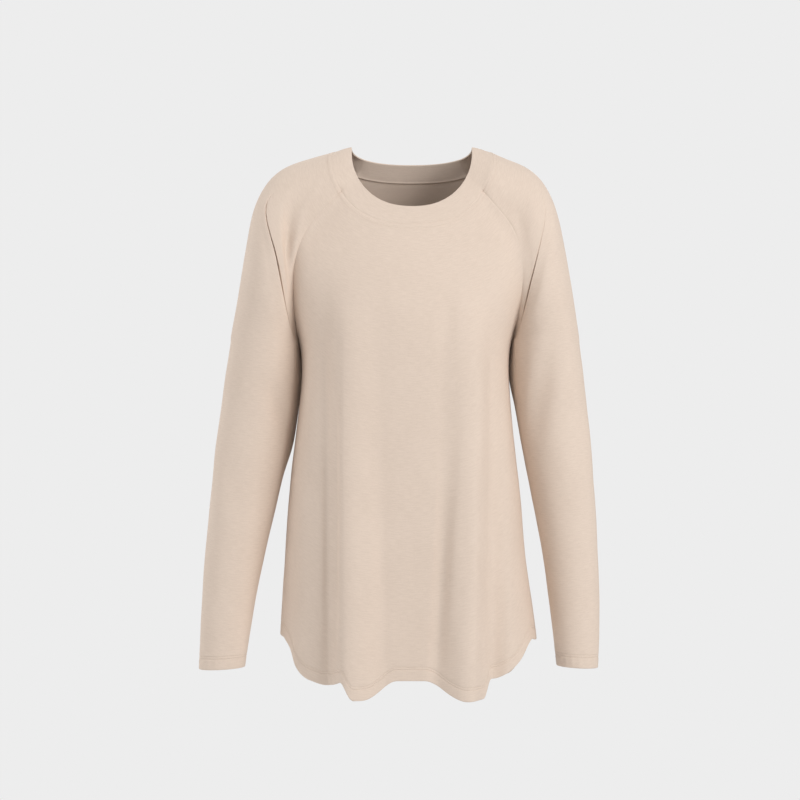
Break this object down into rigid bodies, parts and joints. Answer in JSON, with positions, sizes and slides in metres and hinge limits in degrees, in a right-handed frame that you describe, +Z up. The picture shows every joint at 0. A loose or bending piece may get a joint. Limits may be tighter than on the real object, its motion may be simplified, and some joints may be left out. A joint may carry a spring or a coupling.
{
  "type": "long-sleeve raglan top",
  "caption": "Hollow worn-shape jersey top with long raglan sleeves, a bound scoop neck, an A-line body and a curved shirt-tail hem.",
  "frame": {"origin": "middle of the neck opening, level with the high points of the shoulders, where the wearer holds the garment up", "axes": "+Z up along the body, -Y out of the front, +X towards the wearer's left sleeve"},
  "size_m": [0.5564, 0.267, 0.7605],
  "materials": {
    "jersey": "fine heathered beige cotton jersey, matt",
    "band_jersey": "the same jersey, doubled, matt"
  },
  "bodies": {
    "root": {"front_panel": "jersey", "back_panel": "jersey", "sleeve_left": "jersey", "sleeve_right": "jersey", "neckband": "band_jersey"}
  },
  "joints": []
}
